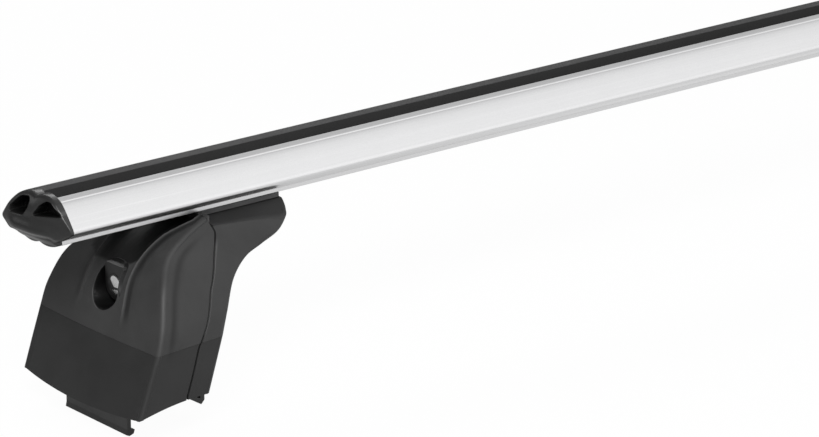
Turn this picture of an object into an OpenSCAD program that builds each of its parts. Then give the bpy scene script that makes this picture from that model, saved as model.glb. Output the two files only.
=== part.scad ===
// Roof rack crossbar: an aluminium aero bar carried by two clamp feet.
// X runs along the bar, Y across it, Z is up. The origin is on the ground, under the middle of the bar.
// The left foot is drawn from its toe, and the right foot is its mirror.

/* [Bar] */
// Length of the bar between the end caps
bar_l = 1200; // [900:10:1400]
// Width of the bar across its two tips
bar_w = 53; // [51:0.5:58]
// Height of the bar from the strip to the lower lips
bar_h = 26.6; // [25.5:0.1:29]
// Wall of the bar
bar_wall = 1.8; // [1.4:0.1:2.2]
// Width of the rubber strip on top
strip_w = 22.7; // [20:0.1:24]
// Width of the flat between the lower lips' outer faces
lip_w = 29.6; // [28:0.1:31]
// Opening of the T-slots
slot_w = 12; // [10:0.5:13]
// Inner width of the lower T-slot
slot_in_w = 21; // [19:0.5:22]
// Inner height of the lower T-slot
slot_in_h = 6.8; // [6:0.1:7]
// Reach of the end cap beyond the bar
cap_reach = 10.6; // [8:0.2:13]
// Depth of the end cap's plugs in the bar
plug_l = 16; // [10:1:30]

/* [Foot] */
// Height from the ground to the rubber strip
ride_h = 141; // [138:0.5:160]
// Distance from the bar's end to the cover's toe
foot_inset = 19; // [18:0.5:60]
// Width of the foot at its crease
foot_w = 114; // [108:0.5:124]
// Height of the cover's lower corners above the ground
skirt_h = 19.3; // [18.5:0.1:21]
// Wall of the cover and of the inner housing
shell_t = 2.5; // [1.8:0.1:2.8]
// Thickness of the saddle pad under the bar
saddle_t = 3.3; // [2.5:0.1:4]
// Width of the saddle pad
saddle_w = 29.6; // [27:0.1:31]
// Sheet of the steel frame
steel_t = 3; // [2.5:0.1:3.2]
// Width of the steel frame
frame_w = 41; // [38:0.5:44]

/* [Clamp] */
// Width of the outer jaw and the inner hook at the rail
jaw_w = 59; // [50:1:64]
// Sheet of the outer jaw
jaw_t = 2.5; // [2:0.1:3]
// Clear width between the two liners
rail_gap = 39.5; // [38:0.5:41]
// Rubber liner on each clamp face
liner_t = 2.5; // [1.5:0.1:3]
// Thickness of the rail pad
pad_t = 5; // [4:0.1:5.5]
// Diameter of the clamp bolt
bolt_d = 8; // [6:0.5:9]
// Diameter of the saddle screws
screw_d = 6; // [5:0.5:6.5]

/* [Lock] */
// Diameter of the lock plug
plug_d = 12; // [9:0.5:12.5]
// Diameter of the lock housing
lock_d = 18; // [16:0.5:18.5]
// Width of the lock pocket in the cover
pocket_w = 24.5; // [24:0.5:28]
// Length of the cam from its axis
cam_l = 14; // [12:0.5:14.5]
// Width of the cam
cam_w = 8; // [6:0.5:9]

/* [Clearances] */
// Radial running clearance of shafts and screws in their bores
run_gap = 0.05; // [0.02:0.01:0.1]
// Gap between faces that slide past each other
slide_gap = 0.15; // [0.1:0.05:0.3]
// Seam between the cover and the inner housing
seam_gap = 0.5; // [0.4:0.1:1]
// Gap over the cover where it slides out under the bar
cover_gap = 0.4; // [0.3:0.1:0.8]

/* [Hidden] */

$fn = 48;
// Room added to cutting bodies so that they pass through the faces they cut
cut = 1;

// Colours, as the photograph shows them
silver = [0.86, 0.86, 0.87];
rubber = [0.16, 0.16, 0.16];
black = [0.07, 0.07, 0.07];
plastic = [0.25, 0.25, 0.25];
steel = [0.55, 0.56, 0.58];

// Bar section: heights are measured down from the strip's top face
bar_half = bar_w / 2;
tip_z = -0.56 * bar_h;
strip_t = 2.6;
web_t = bar_wall;
lip_t = 2.2;
lip_face = 2.4;
strip_slot_top = -strip_t - web_t;
strip_slot_h = 5.4;
strip_slot_bottom = strip_slot_top - strip_slot_h;
strip_slot_w = 18;
chamber_y = slot_in_w / 2 + web_t;

// Foot heights, measured from the strip's top face
bar_under = -bar_h;
shell_top = bar_under - cover_gap;
shell_base = -ride_h + skirt_h;
shell_h = shell_top - shell_base;
saddle_top = bar_under - slide_gap;
saddle_low = bar_under - slide_gap - saddle_t;
roof_low = saddle_low - shell_t;
// The roof falls away on both sides of the saddle, the more so the nearer to the nose
shoulder_x = 52;
shoulder_turn = 0.0087;
shoulder_places = [for (x = [shoulder_x:3:133]) x];
shoulder_y = 34;
function shoulder_slope(x) = shoulder_turn * max(0, x - shoulder_x);
bolt_z = shell_base + 28.6;
// The rail's top lies below the cover's side edges, so that the rail passes under them
seat_up = 2.4;
pad_low = shell_base + seat_up;
deck_low = pad_low + pad_t;
deck_top = deck_low + steel_t;
leg_top = deck_top + 13;
lock_z = shell_top - 36;

// Foot places along the bar, measured inwards from the foot's zero just behind the cover's toe
toe_out = 1.3;
jaw_x = 9.7;
jaw_face = jaw_x + jaw_t + liner_t;
hook_face = jaw_face + rail_gap;
leg_x = hook_face + liner_t - steel_t;
jaw_top_x = 24.2;
jaw_travel = 10;
jaw_neck_w = 24;
neck_gap = 2;
liner_inset = 16;
deck_x0 = jaw_top_x + 3;
neck_slot_x1 = jaw_top_x + jaw_t + jaw_travel;
wall_x = neck_slot_x1 + 4;
wall_top = bolt_z + 9;
bolt_head_l = 8;
bolt_head_d = 13;
washer_t = 1.6;
washer_x = jaw_top_x - washer_t;
nut_l = 6.5;
bolt_tip = wall_x + steel_t + nut_l + 1.5;
hook_x = leg_x + steel_t;
hook_lip_z = -ride_h + 11;
hook_screw_y = [-10, 10];
hook_screw_z = deck_top + 6.5;
saddle_x0 = 72.1;
saddle_x1 = 128.4;
screw_x = [84, 110];
screw_head_d = 11;
screw_head_h = 3.6;
screw_room = 0.6;
seat_room = 0.3;
plate_x1 = 116;
cheek_t = 2.5;
nut_low = bar_under + lip_t + slide_gap;
nut_t = slot_in_h - 2.8;
nut_w = slot_in_w - 1.4;
keeper_x = 35.2;
keeper_t = 2;
cam_x = keeper_x + keeper_t + 1;
cam_t = 2;
floor_x = 30.7;
floor_t = 2;
lock_face = 24.2;
plug_face = 23.7;
cam_swing = sqrt(cam_l * cam_l + cam_w * cam_w / 4);
keeper_w = 2 * (cam_swing + keeper_t + 0.8);
keeper_up = 13;
keeper_down = 18;
keeper_rivet_x = 45;
keeper_rivet_z = [lock_z + 4, lock_z - 12];
rivet_d = 3;
// A length that passes right through the foot
through = 200;

// Foot shell stations from the skirt up and round under the bar. Each row is the outer edge's place
// along the bar, its height as a share of the shell's, its half width as a share of the foot's, and
// the same three of the inner edge.
skirt_rows = [
    [-toe_out, 0, 0.99, 49.3, 0.05, 0.965],
    [5, 0.187, 0.995, 53.6, 0.208, 0.975],
    [11.4, 0.371, 1, 59, 0.387, 0.975]
];
body_rows = [
    [11.4, 0.371, 1, 59, 0.387, 0.975],
    [15.7, 0.518, 0.968, 63.9, 0.519, 0.94],
    [22.9, 0.714, 0.827, 73.5, 0.672, 0.821],
    [34.2, 0.846, 0.627, 86, 0.764, 0.727],
    [49.7, 0.936, 0.526, 100.8, 0.799, 0.648],
    [70.7, 1, 0.42, 117.4, 0.83, 0.544],
    [76.7, 1, 0.396, 126.7, 0.915, 0.475],
    [79.7, 1, 0.381, 127.6, 1, 0.45]
];
skirt_n = len(skirt_rows) - 1;
body_n = len(body_rows) - 1;

// A value on a smooth curve through a list of rows
function spline(rows, t) =
    let (n = len(rows) - 1, i = min(floor(t), n - 1), f = t - i)
    let (a = rows[max(i - 1, 0)], b = rows[i], c = rows[i + 1], d = rows[min(i + 2, n)])
    0.5 * (2 * b + (c - a) * f + (2 * a - 5 * b + 4 * c - d) * f * f + (3 * b - a - 3 * c + d) * f * f * f);
function bezier(p, t) =
    pow(1 - t, 3) * p[0] + 3 * pow(1 - t, 2) * t * p[1] + 3 * (1 - t) * t * t * p[2] + t * t * t * p[3];
function curve(p, n) = [for (i = [0:n]) bezier(p, i / n)];
function mirrored(p) = [for (i = [len(p) - 1:-1:0]) [-p[i][0], p[i][1]]];
function station(t) = t < skirt_n ? spline(skirt_rows, t) : spline(body_rows, min(t - skirt_n, body_n));
function edge_point(row, k) = [row[k], shell_base + row[k + 1] * shell_h];
function unit(v) = v / norm(v);
function turned(v) = [v[1], -v[0]];
function mix(a, b, f) = a + (b - a) * f;

// One side of the bar's outline: its broad upper face, its tip and its lower face
upper_face = curve([[15.2, -1.9], [18, -3.9], [bar_half - 3.3, tip_z + 3.8], [bar_half - 0.6, tip_z + 0.2]], 8);
tip_round = curve([[bar_half - 0.3, tip_z - 0.4], [bar_half + 0.7, tip_z - 2.2], [bar_half - 0.7, tip_z - 3.2],
    [bar_half - 3.1, tip_z - 4.6]], 5);
lower_face = curve([[bar_half - 4, tip_z - 5.1], [20.4, -21.5], [18, -22.9],
    [lip_w / 2, -bar_h + lip_face]], 4);
bar_side = concat(
    [[strip_w / 2, 0], [strip_w / 2 + 0.2, -0.5], [14.1, -1.3], [14.8, -2.1]],
    upper_face, tip_round, lower_face,
    [[lip_w / 2, -bar_h]]
);
bar_outline = concat(bar_side, mirrored(bar_side));

// The inner points of a stretch of the outline, moved inwards by a wall
function inset(p, d) = [for (i = [1:len(p) - 2]) p[i] + d * turned(unit(p[i + 1] - p[i - 1]))];

// An outline in Y and Z drawn along X
module along_x(l) {
    rotate([90, 0, 90]) linear_extrude(l) children();
}
// An outline in X and Z drawn across Y, centred
module across_y(w) {
    translate([0, w / 2, 0]) rotate([90, 0, 0]) linear_extrude(w) children();
}
module box(x0, x1, w, z0, z1) {
    translate([x0, -w / 2, z0]) cube([x1 - x0, w, z1 - z0]);
}
module rod_x(d, x0, x1, y, z) {
    translate([x0, y, z]) rotate([0, 90, 0]) cylinder(d = d, h = x1 - x0);
}
module hex_x(flats, x0, x1, y, z) {
    translate([x0, y, z]) rotate([0, 90, 0]) cylinder(d = flats / cos(30), h = x1 - x0, $fn = 6);
}

// A closed body through rings of equal length
module loft(rings) {
    n = len(rings[0]);
    m = len(rings);
    points = [for (ring = rings, p = ring) p];
    sides = [for (j = [0:m - 2], i = [0:n - 1])
        each [[j * n + i, (j + 1) * n + i, j * n + (i + 1) % n],
            [j * n + (i + 1) % n, (j + 1) * n + i, (j + 1) * n + (i + 1) % n]]];
    first = [for (i = [0:n - 1]) i];
    last = [for (i = [n - 1:-1:0]) (m - 1) * n + i];
    polyhedron(points = points, faces = concat([first], sides, [last]), convexity = 8);
}

// Corner radii of the foot shell, the bows of its faces seen from above, and the dip of its lower edge
front_r = 3;
back_r = 4;
bow_foot = 3.6;
bow_front = 1.7;
bow_inner = 18;
bow_inner_step = 1.9;
bow_inner_least = 3;
edge_dip = 2.2;
edge_rise = 1.6;

// Half width of the scooped channel in the cover's front, and its depth
function channel_y(z) = 17 + 4.5 * pow(max(0, -z - 40) / 40, 1.5) + max(0, z + 34) * 0.5;
function channel_depth(h) = h < 0.42 ? 0 : 9 * pow(min(1, (h - 0.42) / 0.5), 1.6);
front_steps = [0, 0.45, 0.82, 1];
front_dips = [1, 0.96, 0.6, 0];
corner_angles = [0, 22.5, 45, 67.5, 90];
back_angles = [90, 60, 30, 0];

// Half a ring of the foot shell on its near side, from the front's middle to the inner face's middle
function half_ring(t, d) =
    let (s = station(t), e = 0.02, before = station(max(t - e, 0)), after = station(t + e))
    let (n_out = turned(unit(edge_point(after, 0) - edge_point(before, 0))))
    let (n_in = -turned(unit(edge_point(after, 3) - edge_point(before, 3))))
    let (last = t >= skirt_n + body_n)
    let (a = edge_point(s, 0) + d * (last ? [0, -1] : n_out))
    let (b = edge_point(s, 3) + d * (last ? [0, -1] : n_in))
    let (l = norm(b - a), dir = (b - a) / l, w0 = s[2] * foot_w / 2 - d, w1 = s[5] * foot_w / 2 - d)
    let (r0 = front_r, r1 = back_r, y0 = w0 - r0)
    let (bow0 = t < skirt_n ? mix(bow_foot, bow_front, t / skirt_n) : bow_front)
    let (bow1 = max(bow_inner_least, bow_inner - bow_inner_step * t))
    let (cy = min(channel_y(a[1]), y0 - 3), cd = channel_depth(s[1]), low = max(0, 1 - t))
    let (front = concat(
        [for (k = [0:len(front_steps) - 1]) let (y = cy * front_steps[k])
            [cd * front_dips[k] - bow0 * (1 - pow(y / y0, 2)), y]],
        [for (f = [0.35, 0.7]) let (y = mix(cy, y0, f)) [-bow0 * (1 - pow(y / y0, 2)), y]]))
    let (corner = [for (g = corner_angles) [r0 - r0 * cos(g), w0 - r0 + r0 * sin(g)]])
    let (side = [for (f = [0.25, 0.5, 0.75]) [l * f, mix(w0, w1, f)]])
    let (back = [for (g = back_angles) [l - r1 + r1 * cos(g), w1 - r1 + r1 * sin(g)]])
    let (inner = [for (f = [0.7, 0.35, 0]) [l + bow1 * (1 - pow(f, 3)), (w1 - r1) * f]])
    [for (p = concat(front, corner, side, back, inner))
        let (dip = low * (edge_dip * (1 - pow(min(1, p[1] / w0), 2)) * (1 - min(1, max(0, p[0] / l)))
            - edge_rise * min(1, max(0, sin(180 * p[0] / l)))))
        let (q = a + dir * p[0])
        [q[0], -p[1], q[1] - dip]];
function full_ring(t, d) =
    let (h = half_ring(t, d), n = len(h))
    concat(h, [for (i = [n - 2:-1:1]) [h[i][0], -h[i][1], h[i][2]]]);
outer_levels = [0, 0.5, 1, 1.5, 2, 2.5, 3, 3.5, 4, 4.33, 4.67, 5, 5.33, 5.67, 6, 6.33, 6.67, 7, 7.5, 8, 8.5, 9];
inner_levels = [0, 1, 2, 3, 3.5, 4, 4.5, 5, 5.5, 6, 6.5, 7, 8, 9];

module shell_outer() {
    loft([for (t = outer_levels) full_ring(t, 0)]);
}
module shell_inner() {
    first = full_ring(0, shell_t);
    below = [for (p = first) p - [3, 0, 8]];
    loft(concat([below], [for (t = inner_levels) full_ring(t, shell_t)]));
}

// The seam between the cover and the inner housing, from the bar down to the skirt's lower edge
function seam(shift) = [for (p = [
        [70.7, shell_top + 3], [70.7, shell_top], [72.4, shell_top - 7.6], [54.5, shell_top - 33],
        [46.7, shell_top - 50], [40.7, shell_top - 61], [32.7, shell_base + 5.7], [31, shell_base - 12]])
    p + [shift, 0]];
module cover_region() {
    across_y(foot_w + 20) polygon(concat([[-40, shell_base - 12], [-40, shell_top + 3]], seam(-seam_gap / 2)));
}
module housing_region() {
    across_y(foot_w + 20) intersection() {
        polygon(concat([[through, shell_base - 12], [through, shell_top + 3]], seam(seam_gap / 2)));
        translate([0, shell_base - 20]) square([through, saddle_low - shell_base + 20]);
    }
}
// The space under the housing's roof and its two sloping shoulders
module under_roof(top) {
    half = saddle_w / 2;
    far = foot_w / 2 + 10;
    base = shell_base - 20;
    loft([for (x = concat([-20], shoulder_places, [through]))
        let (low = top - shoulder_slope(x) * (shoulder_y - half))
        let (side = [[x, far, base], [x, far, low], [x, shoulder_y, low], [x, half, top]])
        concat(side, [for (i = [3:-1:0]) [x, -side[i][1], side[i][2]]])]);
}

// A flat-topped U outline for the lock pocket, in Y and Z
module pocket_outline(w, grow) {
    translate([0, lock_z]) circle(d = w + 2 * grow);
    translate([-w / 2 - grow, lock_z]) square([w + 2 * grow, 12 + grow]);
}

module bar_profile() {
    color(silver) translate([-bar_l / 2, 0, ride_h]) along_x(bar_l) difference() {
        polygon(bar_outline);
        translate([-strip_w / 2, -strip_t]) square([strip_w, strip_t + cut]);
        translate([-slot_w / 2, strip_slot_top - cut]) square([slot_w, web_t + 2 * cut]);
        translate([-strip_slot_w / 2, strip_slot_bottom]) square([strip_slot_w, strip_slot_h]);
        translate([-slot_w / 2, -bar_h - cut]) square([slot_w, lip_t + 2 * cut]);
        translate([-slot_in_w / 2, -bar_h + lip_t]) square([slot_in_w, slot_in_h]);
        for (side = [0, 1]) mirror([side, 0]) chamber(0);
    }
}
// One of the bar's two closed side chambers, or the end cap's plug that fits it
module chamber(gap) {
    polygon(concat(
        [[chamber_y + gap, strip_slot_top - gap]],
        inset(upper_face, bar_wall + gap),
        [[bar_half - bar_wall - 1.4 - gap, tip_z - 1.6]],
        inset(lower_face, bar_wall + gap),
        [[chamber_y + gap, -bar_h + lip_t + bar_wall + gap]]
    ));
}

module top_strip() {
    gap = 0.1;
    color(rubber) translate([-bar_l / 2, 0, ride_h]) along_x(bar_l) {
        translate([-strip_w / 2 + gap, -strip_t]) square([strip_w - 2 * gap, strip_t]);
        translate([-slot_w / 2 + gap, strip_slot_top - 1.5]) square([slot_w - 2 * gap, web_t + 1.5]);
        translate([-strip_slot_w / 2 + 2, strip_slot_top - 2.5]) square([strip_slot_w - 4, 2.4]);
    }
}

// Reach of the end cap's front at a point of the section: raked back on its near side, its top and its foot
function cap_front(p) =
    let (near = max(0, -p[0] - 2) / (bar_half - 2), far = max(0, p[0]) / bar_half)
    let (high = max(0, p[1] + 10) / 10, low = min(1, max(0, -p[1] - 21.5) / 5))
    cap_reach * (1 - 0.78 * pow(near, 1.1) + 0.2 * far) * (1 - 0.42 * high * high) * (1 - 0.45 * low);
cap_centre = [0, -14];
cap_side = concat(
    [[strip_w / 2, 0]],
    [for (i = [0:2:8]) upper_face[i]],
    [tip_round[2], tip_round[4]],
    [lower_face[1], lower_face[3]],
    [[lip_w / 2, -bar_h + lip_face], [lip_w / 2, -bar_h]]
);
cap_outline = concat([[0, 0]], cap_side, [[0, -bar_h]], mirrored(cap_side));
// Each step holds a ring's size, its share of the reach and its least reach
cap_steps = [[1, 0.74, 1.2], [0.96, 0.9, 1.5], [0.86, 1, 1.8], [0.6, 1.03, 2], [0.28, 1.05, 2]];
function cap_ring(step) = [for (p = cap_outline)
    let (q = cap_centre + (p - cap_centre) * step[0])
    [-max(cap_front(q) * step[1], step[2]), q[0], q[1]]];
module cap_body() {
    base = [for (p = cap_outline) [0, p[0], p[1]]];
    loft(concat([base], [for (s = cap_steps) cap_ring(s)]));
}
// The two three-sided pockets in the end cap's front, in Y and Z
near_pocket = [[-3, -9.6], [-18.6, -8.3], [-17.4, -6.8], [-11.4, -1.9], [-9.2, -1.9], [-6, -4.4]];
far_pocket = [[3, -10.4], [16.6, -12.2], [17.2, -10.6], [11.6, -3.4], [6.2, -2.4], [4.6, -3.4]];
module end_cap() {
    color(black) {
        difference() {
            cap_body();
            for (outline = [near_pocket, far_pocket]) {
                translate([-30, 0, 0]) along_x(28.8) polygon(outline);
            }
        }
        for (side = [0, 1]) mirror([0, side, 0]) {
            translate([-0.5, 0, 0]) along_x(plug_l + 0.5) chamber(slide_gap);
        }
    }
}

module inner_housing() {
    color(plastic) difference() {
        intersection() {
            difference() {
                intersection() {
                    shell_outer();
                    under_roof(saddle_low);
                }
                intersection() {
                    shell_inner();
                    under_roof(roof_low);
                }
            }
            housing_region();
        }
        // A flat seat under the roof for the steel frame's top plate
        box(saddle_x0 - seat_room, plate_x1 + seat_room, saddle_w, roof_low - 6, roof_low);
        for (x = screw_x) {
            translate([x, 0, roof_low - 6]) cylinder(d = screw_d + screw_room, h = shell_t + 6 + cut);
        }
    }
}
module cover() {
    color(plastic) difference() {
        union() {
            intersection() {
                difference() {
                    shell_outer();
                    shell_inner();
                }
                cover_region();
            }
            intersection() {
                shell_outer();
                along_x(floor_x + floor_t) pocket_outline(pocket_w, 1.6);
            }
        }
        translate([-20, 0, 0]) along_x(floor_x + 20) pocket_outline(pocket_w, 0);
        rod_x(lock_d + 2 * slide_gap, floor_x - cut, floor_x + floor_t + cut, 0, lock_z);
    }
}

module lock_housing() {
    color(black) difference() {
        union() {
            rod_x(lock_d, lock_face, floor_x + floor_t + 0.8, 0, lock_z);
            rod_x(lock_d + 3, floor_x - 1.2, floor_x, 0, lock_z);
        }
        rod_x(plug_d + 2 * run_gap, lock_face - cut, floor_x + floor_t + 2, 0, lock_z);
    }
}
module lock_plug() {
    color(steel) difference() {
        rod_x(plug_d, plug_face, cam_x, 0, lock_z);
        translate([plug_face - cut, -0.9, lock_z - 4]) cube([cut + 2.5, 1.8, 8]);
    }
}
module lock_cam() {
    color(steel) difference() {
        union() {
            translate([cam_x, -cam_w / 2, lock_z]) cube([cam_t, cam_w, cam_l]);
            rod_x(cam_w + 3, cam_x, cam_x + cam_t, 0, lock_z);
        }
        rod_x(4.2, cam_x - cut, cam_x + cam_t + cut, 0, lock_z);
    }
}
module cam_screw() {
    color(steel) difference() {
        rod_x(7, cam_x + cam_t, cam_x + cam_t + 2, 0, lock_z);
        translate([cam_x + cam_t + 1, -0.5, lock_z - 4]) cube([2, 1, 8]);
    }
    color(steel) rod_x(4, cam_x, cam_x + cam_t + 0.5, 0, lock_z);
}

// Side view of the frame's two cheeks
cheek_top = roof_low - shoulder_slope(plate_x1) * (frame_w - saddle_w) / 2 - 1.2 * seat_room;
cheek = [
    [saddle_x0, cheek_top], [plate_x1, cheek_top], [plate_x1, cheek_top - steel_t], [88, roof_low - 12],
    [75, roof_low - 20], [63, lock_z - 5], [hook_x, lock_z - 20], [hook_x, deck_low], [deck_x0, deck_low],
    [deck_x0, deck_top + 2], [wall_x - 3, deck_top + 5], [wall_x - 2, lock_z - 16], [wall_x - 2, lock_z + 2],
    [48, lock_z + 14], [60, roof_low - 7]
];
// The top plate in Y and Z, bent down at its sides to the cheeks
top_plate = [
    [saddle_w / 2, roof_low], [frame_w / 2, cheek_top], [frame_w / 2 - cheek_t, cheek_top - steel_t],
    [saddle_w / 2 - 1, roof_low - steel_t]
];
module steel_frame() {
    color(steel) difference() {
        union() {
            for (side = [-1, 1]) {
                translate([0, side * (frame_w - cheek_t) / 2, 0]) across_y(cheek_t) polygon(cheek);
            }
            translate([saddle_x0, 0, 0]) along_x(plate_x1 - saddle_x0)
                polygon(concat(top_plate, mirrored(top_plate)));
            box(wall_x, wall_x + steel_t, frame_w, deck_low, wall_top);
            box(deck_x0, hook_x, frame_w, deck_low, deck_top);
            box(leg_x, hook_x, frame_w, deck_low, leg_top);
        }
        box(jaw_top_x, neck_slot_x1, jaw_neck_w + 2 * neck_gap, deck_low - cut, deck_top + cut);
        rod_x(bolt_d + screw_room, wall_x - cut, wall_x + steel_t + cut, 0, bolt_z);
        for (x = screw_x) {
            translate([x, 0, roof_low - steel_t - cut])
                cylinder(d = screw_d + screw_room, h = steel_t + 2 * cut);
        }
        for (y = hook_screw_y) rod_x(screw_d + 2 * run_gap, leg_x - cut, hook_x + cut, y, hook_screw_z);
        for (z = keeper_rivet_z) {
            translate([keeper_rivet_x, -frame_w / 2 - cut, z]) rotate([-90, 0, 0])
                cylinder(d = rivet_d + 2 * run_gap, h = frame_w + 2 * cut);
        }
    }
}
module saddle() {
    color(rubber) difference() {
        box(saddle_x0 + 1, saddle_x1, saddle_w, saddle_low, saddle_top);
        for (x = screw_x) {
            translate([x, 0, saddle_low - cut]) cylinder(d = screw_d + screw_room, h = saddle_t + 2 * cut);
        }
    }
}
module slot_nuts() {
    color(steel) for (x = screw_x) difference() {
        box(x - 9, x + 9, nut_w, nut_low, nut_low + nut_t);
        translate([x, 0, nut_low - cut]) cylinder(d = screw_d + 2 * run_gap, h = nut_t + 2 * cut);
    }
}
module saddle_screws() {
    head_top = roof_low - steel_t;
    color(steel) for (x = screw_x) difference() {
        union() {
            translate([x, 0, head_top - screw_head_h]) cylinder(d = screw_head_d, h = screw_head_h);
            translate([x, 0, head_top - cut]) cylinder(d = screw_d, h = nut_low + nut_t + cut - head_top);
        }
        translate([x, 0, head_top - screw_head_h - cut]) cylinder(d = 4.6, h = 2 + cut, $fn = 6);
    }
}
module rail_pad() {
    color(rubber) difference() {
        box(deck_x0, leg_x - 0.4, frame_w + 6, pad_low, deck_low);
        box(jaw_top_x, neck_slot_x1, jaw_neck_w + 2 * neck_gap, pad_low - cut, deck_low + cut);
    }
}

module inner_hook() {
    // The wide plate and its lip in X and Z
    lip = [[hook_x, shell_base - 1.5], [hook_x + steel_t, shell_base - 1.5],
        [hook_x + steel_t, hook_lip_z + 0.2], [hook_x + 0.7, hook_lip_z - 2.2],
        [hook_x - 8, hook_lip_z + 3.2], [hook_x - 7, hook_lip_z + 5.2], [hook_x, hook_lip_z + 1.6]];
    color(steel) difference() {
        union() {
            box(hook_x, hook_x + steel_t, frame_w - 1, shell_base - 3, leg_top - 1);
            across_y(jaw_w + 9) polygon(lip);
        }
        for (y = hook_screw_y) {
            rod_x(screw_d + screw_room, hook_x - cut, hook_x + steel_t + cut, y, hook_screw_z);
        }
    }
}
module hook_liner() {
    color(rubber) box(hook_x - liner_t, hook_x, jaw_w - liner_inset, hook_lip_z + 6, pad_low - 0.3);
}
module hook_screws() {
    head_x = hook_x + steel_t;
    color(steel) for (y = hook_screw_y) difference() {
        union() {
            rod_x(screw_head_d, head_x, head_x + 3, y, hook_screw_z);
            rod_x(screw_d, leg_x, head_x + 1, y, hook_screw_z);
        }
        hex_x(4, head_x + 1, head_x + 3 + cut, y, hook_screw_z);
    }
}
module clamp_nut() {
    color(steel) difference() {
        hex_x(13, wall_x + steel_t, wall_x + steel_t + nut_l, 0, bolt_z);
        rod_x(bolt_d + 2 * run_gap, wall_x, wall_x + steel_t + nut_l + cut, 0, bolt_z);
    }
}

module lock_keeper() {
    inside = frame_w - 2 * cheek_t;
    color(steel) difference() {
        box(keeper_x, keeper_rivet_x + 4, inside, lock_z - keeper_down, lock_z + keeper_up);
        box(keeper_x + keeper_t, keeper_rivet_x + 5, keeper_w - 2 * keeper_t, lock_z - 20, lock_z + 20);
        box(keeper_x - cut, keeper_x + keeper_t + cut, cam_w + 6, lock_z - 9, lock_z + 20);
        for (z = keeper_rivet_z) {
            translate([keeper_rivet_x, -frame_w / 2, z]) rotate([-90, 0, 0])
                cylinder(d = rivet_d + 2 * run_gap, h = frame_w);
        }
    }
}
module keeper_rivets() {
    arm_in = keeper_w / 2 - keeper_t;
    color(steel) for (side = [-1, 1], z = keeper_rivet_z) {
        translate([keeper_rivet_x, 0, z]) rotate([-90 * side, 0, 0]) {
            translate([0, 0, arm_in]) cylinder(d = rivet_d, h = frame_w / 2 - arm_in + 0.4);
            translate([0, 0, frame_w / 2]) cylinder(d = rivet_d + 2.4, h = 1);
        }
    }
}

module outer_jaw() {
    bend = pad_low - 2;
    neck_low = deck_low - 4;
    // The plate's lower end turns in towards the rail
    plate = [[jaw_x, bend], [jaw_x + jaw_t, bend], [jaw_x + jaw_t, -ride_h + 4.6], [jaw_x + 5, -ride_h + 3.2],
        [jaw_x + 4.2, -ride_h + 0.9], [jaw_x + 1.4, -ride_h], [jaw_x - 0.7, -ride_h + 0.9], [jaw_x, -ride_h + 4]];
    neck = [[jaw_x, bend], [jaw_x, neck_low - 2], [jaw_top_x, deck_top - 1], [jaw_top_x, wall_top],
        [jaw_top_x + jaw_t, wall_top], [jaw_top_x + jaw_t, deck_top - 2.2], [jaw_x + jaw_t, neck_low - 3.2],
        [jaw_x + jaw_t, bend]];
    color(steel) difference() {
        union() {
            across_y(jaw_w) polygon(plate);
            across_y(jaw_neck_w) polygon(neck);
        }
        rod_x(bolt_d + 2 * run_gap, jaw_top_x - cut, jaw_top_x + jaw_t + cut, 0, bolt_z);
    }
}
module jaw_liner() {
    color(rubber) box(jaw_x + jaw_t, jaw_x + jaw_t + liner_t, jaw_w - liner_inset, -ride_h + 6, pad_low - 2.5);
}
module clamp_bolt() {
    head_x = washer_x - bolt_head_l;
    color(steel) difference() {
        union() {
            rod_x(bolt_head_d, head_x, washer_x, 0, bolt_z);
            rod_x(bolt_d, washer_x - cut, bolt_tip, 0, bolt_z);
        }
        hex_x(6, head_x - cut, head_x + 5, 0, bolt_z);
    }
}
module washer() {
    color(steel) difference() {
        rod_x(16, washer_x, jaw_top_x, 0, bolt_z);
        rod_x(bolt_d + 2 * run_gap, washer_x - cut, jaw_top_x + cut, 0, bolt_z);
    }
}

// Places a foot piece at the left end, or mirrored at the right
module foot(right) {
    mirror([right, 0, 0]) translate([-bar_l / 2 + foot_inset + toe_out, 0, ride_h]) children();
}
module cap_place(right) {
    mirror([right, 0, 0]) translate([-bar_l / 2, 0, ride_h]) children();
}

bar_profile();
top_strip();
cap_place(0) end_cap();  // left_end_cap
cap_place(1) end_cap();  // right_end_cap
foot(0) inner_housing();  // left_inner_housing
foot(0) steel_frame();  // left_steel_frame
foot(0) saddle();  // left_saddle
foot(0) slot_nuts();  // left_slot_nuts
foot(0) saddle_screws();  // left_saddle_screws
foot(0) rail_pad();  // left_rail_pad
foot(0) inner_hook();  // left_inner_hook
foot(0) hook_liner();  // left_hook_liner
foot(0) hook_screws();  // left_hook_screws
foot(0) clamp_nut();  // left_clamp_nut
foot(0) lock_keeper();  // left_lock_keeper
foot(0) keeper_rivets();  // left_keeper_rivets
foot(0) outer_jaw();  // left_outer_jaw
foot(0) jaw_liner();  // left_jaw_liner
foot(0) clamp_bolt();  // left_clamp_bolt
foot(0) washer();  // left_washer
foot(0) cover();  // left_cover
foot(0) lock_housing();  // left_lock_housing
foot(0) lock_plug();  // left_lock_plug
foot(0) lock_cam();  // left_lock_cam
foot(0) cam_screw();  // left_cam_screw
foot(1) inner_housing();  // right_inner_housing
foot(1) steel_frame();  // right_steel_frame
foot(1) saddle();  // right_saddle
foot(1) slot_nuts();  // right_slot_nuts
foot(1) saddle_screws();  // right_saddle_screws
foot(1) rail_pad();  // right_rail_pad
foot(1) inner_hook();  // right_inner_hook
foot(1) hook_liner();  // right_hook_liner
foot(1) hook_screws();  // right_hook_screws
foot(1) clamp_nut();  // right_clamp_nut
foot(1) lock_keeper();  // right_lock_keeper
foot(1) keeper_rivets();  // right_keeper_rivets
foot(1) outer_jaw();  // right_outer_jaw
foot(1) jaw_liner();  // right_jaw_liner
foot(1) clamp_bolt();  // right_clamp_bolt
foot(1) washer();  // right_washer
foot(1) cover();  // right_cover
foot(1) lock_housing();  // right_lock_housing
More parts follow.
